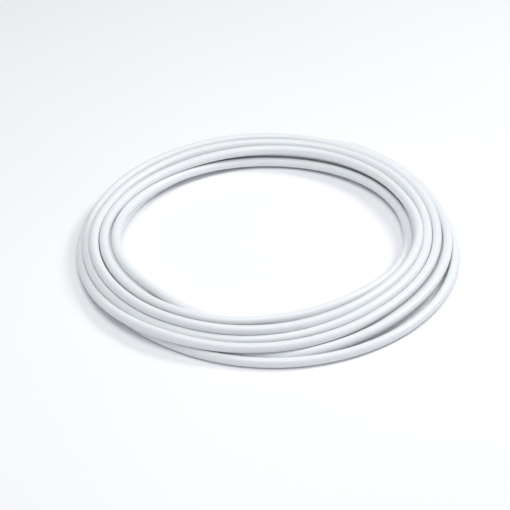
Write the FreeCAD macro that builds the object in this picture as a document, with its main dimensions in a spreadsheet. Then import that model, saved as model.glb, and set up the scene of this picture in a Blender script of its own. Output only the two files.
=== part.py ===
"""A coil of plastic water pipe, lying flat on the floor, as one turned solid.

The turns lie in three layers. Each turn rests in the hollow between two turns of the
layer below, apart from the innermost ones, which stand over each other and make a plain
round bore. The crowns of the turns show on the top, the underside and the outer side.
The origin is on the floor at the middle of the bore, with +Z up.
"""
import FreeCAD, Part
import math
import os
import Sketcher

# Driving dimensions in millimetres, and the number of turns in each layer.
SIZES = [
    ("pipe_diameter", 22.0, "outside diameter of the pipe"),
    ("bore_diameter", 664.0, "round hole through the middle of the coil"),
    ("crease_depth", 6.6, "depth of the crease between two turns, from their crowns"),
    ("bottom_turns", 5, "turns in the layer on the floor"),
    ("middle_turns", 3, "turns in the layer above it"),
    ("top_turns", 2, "turns in the top layer"),
]

doc = FreeCAD.newDocument("PlasticPipeCoil")
sheet = doc.addObject("Spreadsheet::Sheet", "Sizes")
for row, (alias, value, note) in enumerate(SIZES, start=1):
    sheet.set("A%d" % row, alias)
    sheet.set("B%d" % row, str(value))
    sheet.set("C%d" % row, note)
    sheet.setAlias("B%d" % row, alias)
doc.recompute()

pipe_radius = sheet.pipe_diameter / 2
crease_offset = pipe_radius - sheet.crease_depth  # from the line of centres to the crease


def turn(column, layer):
    """One turn of the pipe: its centre in the section, as numbers and as expressions."""
    across = sheet.bore_diameter / 2 + sheet.pipe_diameter * (0.5 + column)
    up = sheet.pipe_diameter * (0.5 + layer * math.sqrt(3) / 2)
    return {
        "centre": FreeCAD.Vector(across, up, 0),
        "across": "Sizes.bore_diameter / 2 + Sizes.pipe_diameter * %s" % (0.5 + column),
        "up": "Sizes.pipe_diameter * (0.5 + %d * sqrt(3) / 2)" % layer,
    }


def outline_turns():
    """The turns that the section's outline passes, along the underside and back over the top."""
    bottom, middle, top = (int(sheet.get(name)) for name in ("bottom_turns", "middle_turns", "top_turns"))
    underside = [turn(column, 0) for column in range(bottom)]
    outer_step = [turn(column, 0) for column in range(bottom - 2, middle - 1, -1)]
    middle_step = [turn(column + 0.5, 1) for column in range(middle - 1, top - 2, -1)]
    crown = [turn(column, 2) for column in range(top - 1, -1, -1)]
    return underside + outer_step + middle_step + crown


def crease_ends(first, second):
    """Where the crease between two turns leaves the first and meets the second."""
    along = (second - first).normalize()
    outward = FreeCAD.Vector(along.y, -along.x, 0)
    reach = math.sqrt(pipe_radius ** 2 - crease_offset ** 2)
    start = first + along * reach + outward * crease_offset
    end = second - along * reach + outward * crease_offset
    return start, end


def angle_about(centre, point):
    """Direction of a point seen from a centre, in radians."""
    return math.atan2(point.y - centre.y, point.x - centre.x)


def add_arcs_and_creases(sketch, turns):
    """Draw each turn's crown as an arc, and the creases and the bore wall as lines between them."""
    last = len(turns) - 1
    inward = FreeCAD.Vector(-pipe_radius, 0, 0)
    creases = [crease_ends(turns[i]["centre"], turns[i + 1]["centre"]) for i in range(last)]
    bore_wall = (turns[last]["centre"] + inward, turns[0]["centre"] + inward)
    lines = creases + [bore_wall]
    for i, this_turn in enumerate(turns):
        centre = this_turn["centre"]
        start_angle = angle_about(centre, lines[i - 1][1])
        end_angle = angle_about(centre, lines[i][0])
        if end_angle <= start_angle:
            end_angle += 2 * math.pi
        circle = Part.Circle(centre, FreeCAD.Vector(0, 0, 1), pipe_radius)
        sketch.addGeometry(Part.ArcOfCircle(circle, start_angle, end_angle), False)
    for start, end in lines:
        sketch.addGeometry(Part.LineSegment(start, end), False)


def constrain_section(sketch, turns):
    """Tie every arc and line to the sizes in the sheet."""
    START, END, CENTRE = 1, 2, 3
    ORIGIN = -1
    count = len(turns)

    def bind(constraint, expression):
        index = sketch.addConstraint(constraint)
        sketch.setExpression("Constraints[%d]" % index, expression)

    for i, this_turn in enumerate(turns):
        centre = this_turn["centre"]
        bind(Sketcher.Constraint("DistanceX", ORIGIN, START, i, CENTRE, centre.x), this_turn["across"])
        bind(Sketcher.Constraint("DistanceY", ORIGIN, START, i, CENTRE, centre.y), this_turn["up"])
        bind(Sketcher.Constraint("Radius", i, pipe_radius), "Sizes.pipe_diameter / 2")
    for i in range(count - 1):
        line = count + i
        sketch.addConstraint(Sketcher.Constraint("Coincident", i, END, line, START))
        sketch.addConstraint(Sketcher.Constraint("Coincident", line, END, i + 1, START))
        for beside in (i, i + 1):
            bind(
                Sketcher.Constraint("Distance", beside, CENTRE, line, crease_offset),
                "Sizes.pipe_diameter / 2 - Sizes.crease_depth",
            )
    bore_wall = 2 * count - 1
    sketch.addConstraint(Sketcher.Constraint("Tangent", count - 1, END, bore_wall, START))
    sketch.addConstraint(Sketcher.Constraint("Tangent", bore_wall, END, 0, START))


def plane_of(body, role):
    """One of a body's own origin planes."""
    return next(feature for feature in body.Origin.OriginFeatures if feature.Role == role)


# The coil: its section turned about the vertical axis.
coil = doc.addObject("PartDesign::Body", "PipeCoil")
coil.Label = "pipe_coil"
coil.Placement = FreeCAD.Placement()
section = coil.newObject("Sketcher::SketchObject", "CoilSection")
section.AttachmentSupport = [(plane_of(coil, "XZ_Plane"), "")]
section.MapMode = "FlatFace"
turns = outline_turns()
add_arcs_and_creases(section, turns)
constrain_section(section, turns)
doc.recompute()
turned = coil.newObject("PartDesign::Revolution", "TurnedCoil")
turned.Profile = section
turned.ReferenceAxis = (section, ["V_Axis"])
turned.Angle = 360
coil.Tip = turned
doc.recompute()

# Nothing is written unless every object computed and the solid is sound.
for item in doc.Objects:
    if "Invalid" in item.State or "Error" in item.State:
        raise RuntimeError("%s failed: %s" % (item.Label, item.State))
if coil.Shape.isNull() or not coil.Shape.isValid() or len(coil.Shape.Solids) != 1:
    raise RuntimeError("pipe_coil has no single valid solid")

box = coil.Shape.optimalBoundingBox()
print("pipe_coil: %.1f x %.1f x %.1f mm, bottom at %.3f, volume %.0f cm3" % (
    box.XLength, box.YLength, box.ZLength, box.ZMin, coil.Shape.Volume / 1000))
os.makedirs("parts", exist_ok=True)
coil.Shape.exportStep("parts/%s.step" % coil.Label)
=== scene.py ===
import math

import bpy
import numpy as np
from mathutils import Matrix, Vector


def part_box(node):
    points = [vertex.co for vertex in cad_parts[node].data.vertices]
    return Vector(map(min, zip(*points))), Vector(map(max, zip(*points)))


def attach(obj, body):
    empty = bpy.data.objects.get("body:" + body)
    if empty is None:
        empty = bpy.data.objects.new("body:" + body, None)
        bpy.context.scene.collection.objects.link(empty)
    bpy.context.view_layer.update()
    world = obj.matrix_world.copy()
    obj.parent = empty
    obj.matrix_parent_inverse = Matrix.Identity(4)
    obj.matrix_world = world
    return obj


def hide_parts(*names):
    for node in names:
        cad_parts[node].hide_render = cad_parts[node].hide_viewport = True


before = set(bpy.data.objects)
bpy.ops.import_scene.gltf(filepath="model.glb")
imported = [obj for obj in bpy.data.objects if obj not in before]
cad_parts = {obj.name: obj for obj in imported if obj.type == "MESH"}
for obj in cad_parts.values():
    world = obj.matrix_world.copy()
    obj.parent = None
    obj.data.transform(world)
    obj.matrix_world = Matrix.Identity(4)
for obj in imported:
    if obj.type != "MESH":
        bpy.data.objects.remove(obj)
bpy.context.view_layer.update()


# ---------------------------------------------------------------------------
# The camera: a long lens, well back from the coil and about a third of the
# way up from the floor to overhead, looking straight at the coil's front.

scene = bpy.context.scene
scene.view_settings.view_transform = "Standard"

camera_rise = math.radians(34.3)
camera_reach = 4.5
camera_lens_mm = 137.0
camera_aim = (-0.0315, -0.0039, -0.0057)

camera_data = bpy.data.cameras.new("camera")
camera_data.lens = camera_lens_mm
camera_data.sensor_width = 36.0
camera = bpy.data.objects.new("camera", camera_data)
camera.location = (
    camera_aim[0],
    camera_aim[1] - camera_reach * math.cos(camera_rise),
    camera_aim[2] + camera_reach * math.sin(camera_rise),
)
camera.rotation_euler = (math.pi / 2 - camera_rise, 0.0, 0.0)
scene.collection.objects.link(camera)
scene.camera = camera


# ---------------------------------------------------------------------------
# The coiled pipe: one length of 22 mm white plastic water pipe, extruded in
# one run, wound on a drum and slipped off, so its turns have sprung apart and
# lie loosely in three layers. Both ends are square cuts that show the wall.

pipe_diameter = 0.022
pipe_wall = 0.002
pipe_facets = 32
bore_radius = 0.332
layers_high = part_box("pipe_coil")[1][2] / pipe_diameter
points_per_turn = 48

# How the turns lie at eight bearings round the coil, in the order that they
# were wound: how far the pipe's middle is outside the bore, and how high it
# is, both in pipe diameters. The pipe starts at the first bearing and runs
# anticlockwise; bearings are in degrees, with 0 at the right.
lay_by_bearing = {
    270: [(-0.1, 0.5), (0.95, 0.5), (1.95, 0.5), (4.92, 0.5), (3.92, 0.5), (3.75, 1.5),
          (2.3, 1.45), (1.65, 2.25), (0.1, 2.25), (0.5, 1.35), (-0.6, 0.8)],
    315: [(-0.1, 0.5), (0.9, 0.5), (2.0, 0.5), (4.55, 0.5), (3.0, 1.3), (1.55, 1.6),
          (0.7, 2.1), (-0.3, 2.2), (-1.4, 2.2), (-0.7, 1.3), (-1.2, 0.5)],
    0: [(1.2, 0.5), (2.2, 0.5), (3.25, 0.5), (4.4, 0.5), (3.55, 1.25), (2.55, 1.5),
        (1.5, 1.85), (0.7, 2.25), (-0.35, 0.9), (0.5, 1.37)],
    45: [(2.5, 0.5), (3.4, 0.5), (4.3, 0.5), (5.3, 0.55), (5.3, 1.6), (4.4, 2.2), (3.2, 2.2),
         (2.2, 2.2), (1.6, 1.1), (2.4, 1.37)],
    90: [(3.3, 0.5), (4.25, 0.5), (5.2, 0.5), (4.2, 1.35), (5.3, 1.5), (4.6, 2.25),
         (3.6, 2.25), (2.35, 2.15), (2.35, 0.6), (2.9, 1.37)],
    135: [(1.85, 0.5), (2.9, 0.5), (4.0, 0.5), (3.6, 1.35), (4.95, 1.3), (4.45, 2.05),
          (2.85, 2.2), (1.55, 2.0), (1.1, 1.5), (2.3, 1.3)],
    180: [(1.4, 0.5), (2.4, 0.5), (3.35, 0.5), (2.85, 1.4), (4.4, 0.5), (3.9, 1.6),
          (3.25, 2.25), (2.15, 2.25), (1.15, 2.0), (1.85, 1.37)],
    225: [(1.3, 0.5), (2.2, 1.0), (3.9, 0.5), (2.9, 0.5), (4.65, 1.3), (3.65, 1.65),
          (3.4, 2.25), (1.75, 2.25), (0.25, 2.2), (0.6, 1.3)],
}
first_bearing = math.radians(next(iter(lay_by_bearing)))
most_passes = max(len(passes) for passes in lay_by_bearing.values())


def wound_lay():
    """The lay at each step along the pipe, run smoothly from bearing to bearing."""
    knots = np.array([passes[turn] for turn in range(most_passes)
                      for passes in lay_by_bearing.values() if turn < len(passes)])
    steps_apart = points_per_turn // len(lay_by_bearing)
    last = len(knots) - 1
    lay = []
    for step in range(last * steps_apart + 1):
        k = min(step // steps_apart, last - 1)
        t = step / steps_apart - k
        before, here = knots[max(k - 1, 0)], knots[k]
        after, beyond = knots[k + 1], knots[min(k + 2, last)]
        lay.append(0.5 * (2 * here + (after - before) * t
                          + (2 * before - 5 * here + 4 * after - beyond) * t ** 2
                          + (3 * here - before - 3 * after + beyond) * t ** 3))
    return np.array(lay)


def settled(lay, rounds=500, shoves=3, stiffness=0.25, hold=0.04, weight=0.004):
    """The turns dropped onto each other: the pipe stays stiff, and turns push each other aside."""
    wanted = lay
    lay = lay.copy()
    for _ in range(rounds):
        bent = lay[1:-1] - 0.5 * (lay[:-2] + lay[2:])
        lay[1:-1] -= stiffness * bent
        lay += hold * (wanted - lay)
        lay[:, 1] -= weight
        for _ in range(shoves):
            for apart in range(points_per_turn, len(lay), points_per_turn):
                gap = lay[apart:] - lay[:-apart]
                reach = np.hypot(gap[:, 0], gap[:, 1])[:, None] + 1e-9
                push = 0.5 * np.maximum(1 - reach, 0) * gap / reach
                lay[:-apart] -= push
                lay[apart:] += push
            lay[:, 1] = np.clip(lay[:, 1], 0.5, layers_high - 0.5)
    return lay


def pipe_route(lay):
    """The coil's route: an open NURBS spline through every step of the lay."""
    curve = bpy.data.curves.new("pipe_route", "CURVE")
    curve.dimensions = "3D"
    spline = curve.splines.new("NURBS")
    spline.points.add(len(lay) - 1)
    for step, (out, up) in enumerate(lay):
        bearing = first_bearing + 2 * math.pi * step / points_per_turn
        radius = bore_radius + out * pipe_diameter
        spline.points[step].co = (
            radius * math.cos(bearing),
            radius * math.sin(bearing),
            up * pipe_diameter,
            1.0,
        )
    spline.order_u = 3
    spline.use_endpoint_u = True
    spline.resolution_u = 2
    return bpy.data.objects.new("pipe_route", curve)


class Value:
    """A node's number, written in sums: each sum on it becomes a Math node."""

    def __init__(self, tree, socket):
        self.tree = tree
        self.socket = socket

    def maths(self, operation, first, second):
        node = self.tree.nodes.new("ShaderNodeMath")
        node.operation = operation
        for socket, term in zip(node.inputs, (first, second)):
            if isinstance(term, Value):
                self.tree.links.new(term.socket, socket)
            else:
                socket.default_value = term
        return Value(self.tree, node.outputs[0])

    def __add__(self, other):
        return self.maths("ADD", self, other)

    __radd__ = __add__

    def __sub__(self, other):
        return self.maths("SUBTRACT", self, other)

    def __rsub__(self, other):
        return self.maths("SUBTRACT", other, self)

    def __mul__(self, other):
        return self.maths("MULTIPLY", self, other)

    __rmul__ = __mul__


class Nodes:
    """A node tree and the one way that nodes are added to it."""

    def __init__(self, tree):
        self.tree = tree

    def add(self, kind, settings=None, **sockets):
        node = self.tree.nodes.new(kind)
        for name, setting in (settings or {}).items():
            if name == "stops":
                for element, (position, shade) in zip(node.color_ramp.elements, setting):
                    element.position = position
                    element.color = (shade, shade, shade, 1.0)
            else:
                setattr(node, name, setting)
        for name, value in sockets.items():
            socket = self.socket(node.inputs, name.replace("_", " "))
            if isinstance(value, Value):
                value = value.socket
            if isinstance(value, bpy.types.NodeSocket):
                self.tree.links.new(value, socket)
            else:
                socket.default_value = value
        return node

    def socket(self, sockets, name):
        return next(s for s in sockets if s.name == name and s.enabled)

    def value(self, node, name):
        return Value(self.tree, self.socket(node.outputs, name))


def pipe_plastic():
    """Extruded white plastic: satin, with faint draw lines along it and scuffs where turns rub."""
    material = bpy.data.materials.new("white_pipe_plastic")
    material.use_nodes = True
    material.node_tree.nodes.clear()
    nodes = Nodes(material.node_tree)

    # Where a point is on the pipe: its side of the pipe's middle, and how far along.
    side = nodes.add("ShaderNodeAttribute", {"attribute_name": "pipe_side"})
    along = nodes.add("ShaderNodeAttribute", {"attribute_name": "pipe_along"})
    side_xyz = nodes.add("ShaderNodeSeparateXYZ", Vector=side.outputs["Vector"])

    def noise_along(lengthwise, scale, detail):
        place = nodes.add(
            "ShaderNodeCombineXYZ",
            X=nodes.value(side_xyz, "X"),
            Y=nodes.value(side_xyz, "Y"),
            Z=nodes.value(along, "Fac") * lengthwise,
        )
        noise = nodes.add("ShaderNodeTexNoise", Vector=place.outputs[0], Scale=scale, Detail=detail)
        return nodes.value(noise, "Fac")

    draw_lines = noise_along(0.01, 900.0, 2.0)
    cloudiness = noise_along(0.25, 14.0, 3.0)
    grain = noise_along(1.0, 700.0, 2.0)
    scuff_noise = noise_along(0.35, 60.0, 4.0)
    scuffs = nodes.add(
        "ShaderNodeValToRGB", {"stops": ((0.6, 0.0), (0.72, 1.0))}, Fac=scuff_noise,
    )
    scuffed = nodes.value(scuffs, "Color")

    colour = nodes.add(
        "ShaderNodeMix",
        {"data_type": "RGBA"},
        Factor=0.8 * cloudiness + 0.2 * scuffed,
        A=(0.85, 0.86, 0.87, 1.0),
        B=(0.80, 0.815, 0.83, 1.0),
    )
    bump = nodes.add(
        "ShaderNodeBump",
        Strength=0.25,
        Distance=0.00015,
        Height=0.6 * draw_lines + 0.4 * grain - 0.3 * scuffed,
    )
    shader = nodes.add(
        "ShaderNodeBsdfPrincipled",
        Base_Color=nodes.socket(colour.outputs, "Result"),
        Roughness=0.36 + 0.08 * cloudiness + 0.14 * scuffed,
        Normal=bump.outputs["Normal"],
        IOR=1.5,
        Subsurface_Weight=0.1,
        Subsurface_Scale=0.006,
    )
    nodes.add("ShaderNodeOutputMaterial", Surface=shader.outputs["BSDF"])
    return material


def pipe_tree():
    """Sweeps a round section along the route, and notes each point's side and place along."""
    tree = bpy.data.node_groups.new("extruded_pipe", "GeometryNodeTree")
    new_socket = tree.interface.new_socket
    new_socket("Route", in_out="INPUT", socket_type="NodeSocketGeometry")
    new_socket("Diameter", in_out="INPUT", socket_type="NodeSocketFloat")
    new_socket("Facets", in_out="INPUT", socket_type="NodeSocketInt")
    new_socket("Plastic", in_out="INPUT", socket_type="NodeSocketMaterial")
    new_socket("Pipe", in_out="OUTPUT", socket_type="NodeSocketGeometry")
    nodes = Nodes(tree)
    inputs = nodes.add("NodeGroupInput")

    line = nodes.add("GeometryNodeMeshToCurve", Mesh=inputs.outputs["Route"])
    reach = nodes.add("GeometryNodeSplineParameter")
    marked_line = nodes.add("GeometryNodeStoreNamedAttribute", {"domain": "POINT"},
                            Geometry=line.outputs[0], Name="pipe_along",
                            Value=reach.outputs["Length"])
    round_section = nodes.add("GeometryNodeCurvePrimitiveCircle",
                              Resolution=inputs.outputs["Facets"],
                              Radius=0.5 * nodes.value(inputs, "Diameter"))
    place = nodes.add("GeometryNodeInputPosition")
    marked_section = nodes.add("GeometryNodeStoreNamedAttribute",
                               {"domain": "POINT", "data_type": "FLOAT_VECTOR"},
                               Geometry=round_section.outputs[0], Name="pipe_side",
                               Value=place.outputs[0])
    skin = nodes.add("GeometryNodeCurveToMesh",
                     Curve=marked_line.outputs[0], Profile_Curve=marked_section.outputs[0])
    smooth = nodes.add("GeometryNodeSetShadeSmooth", Geometry=skin.outputs[0])
    real = nodes.add("GeometryNodeRealizeInstances", Geometry=smooth.outputs[0])
    finished = nodes.add("GeometryNodeSetMaterial",
                         Geometry=real.outputs[0], Material=inputs.outputs["Plastic"])
    nodes.add("NodeGroupOutput", Pipe=finished.outputs[0])
    return tree


route = pipe_route(settled(wound_lay()))
route_mesh = bpy.data.meshes.new_from_object(route)

pipe = bpy.data.objects.new("coiled_pipe", route_mesh)
scene.collection.objects.link(pipe)
pipe_maker = pipe.modifiers.new("extruded_pipe", "NODES")
pipe_maker.node_group = pipe_tree()
pipe_sizes = {"Diameter": pipe_diameter, "Facets": pipe_facets, "Plastic": pipe_plastic()}
for item in pipe_maker.node_group.interface.items_tree:
    if item.name in pipe_sizes:
        pipe_maker[item.identifier] = pipe_sizes[item.name]
wall = pipe.modifiers.new("pipe_wall", "SOLIDIFY")
wall.thickness = pipe_wall
wall.offset = -1.0
bpy.context.view_layer.update()
pipe_mesh = bpy.data.meshes.new_from_object(
    pipe.evaluated_get(bpy.context.evaluated_depsgraph_get())
)
pipe.modifiers.clear()
pipe.data = pipe_mesh

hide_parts("pipe_coil")
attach(pipe, "root")


# ---------------------------------------------------------------------------
# The floor: a wide sheet of white backdrop paper, laid flat, with the faint
# unevenness that such paper has. It isn't part of the coil.

floor_half = 6.0
floor_mesh = bpy.data.meshes.new("floor")
floor_mesh.from_pydata(
    [(-floor_half, -floor_half, 0), (floor_half, -floor_half, 0),
     (floor_half, floor_half, 0), (-floor_half, floor_half, 0)],
    [], [(0, 1, 2, 3)],
)
floor = bpy.data.objects.new("floor", floor_mesh)
scene.collection.objects.link(floor)


def backdrop_paper():
    """Matt white paper, a little uneven."""
    material = bpy.data.materials.new("backdrop_paper")
    material.use_nodes = True
    material.node_tree.nodes.clear()
    nodes = Nodes(material.node_tree)
    place = nodes.add("ShaderNodeTexCoord")
    unevenness = nodes.add("ShaderNodeTexNoise", Vector=place.outputs["Object"],
                           Scale=1.5, Detail=2.0)
    colour = nodes.add(
        "ShaderNodeMix",
        {"data_type": "RGBA"},
        Factor=nodes.value(unevenness, "Fac"),
        A=(0.93, 0.935, 0.95, 1.0),
        B=(0.90, 0.905, 0.92, 1.0),
    )
    shader = nodes.add("ShaderNodeBsdfPrincipled",
                       Base_Color=nodes.socket(colour.outputs, "Result"), Roughness=0.8)
    nodes.add("ShaderNodeOutputMaterial", Surface=shader.outputs["BSDF"])
    return material


floor_mesh.materials.append(backdrop_paper())


# ---------------------------------------------------------------------------
# The light: a wide soft box overhead, a smaller one high at the back right,
# and an even white room all round.


def soft_box(name, place, size, power):
    """A square lamp that faces the middle of the coil."""
    lamp = bpy.data.lights.new(name, "AREA")
    lamp.shape = "SQUARE"
    lamp.size = size
    lamp.energy = power
    box = bpy.data.objects.new(name, lamp)
    box.location = place
    x, y, z = place
    box.rotation_euler = (
        math.atan2(math.hypot(x, y), z),
        0.0,
        math.atan2(y, x) + math.pi / 2,
    )
    scene.collection.objects.link(box)


soft_box("overhead_light", place=(-0.1, -0.6, 3.2), size=2.2, power=52.0)
soft_box("key_light", place=(3.7, 1.7, 4.0), size=1.6, power=115.0)

room = bpy.data.worlds.new("room")
room.use_nodes = True
scene.world = room
room_nodes = Nodes(room.node_tree)
room.node_tree.nodes.clear()
room_light = room_nodes.add("ShaderNodeBackground", Color=(0.93, 0.95, 1.0, 1.0), Strength=0.45)
room_nodes.add("ShaderNodeOutputWorld", Surface=room_light.outputs[0])
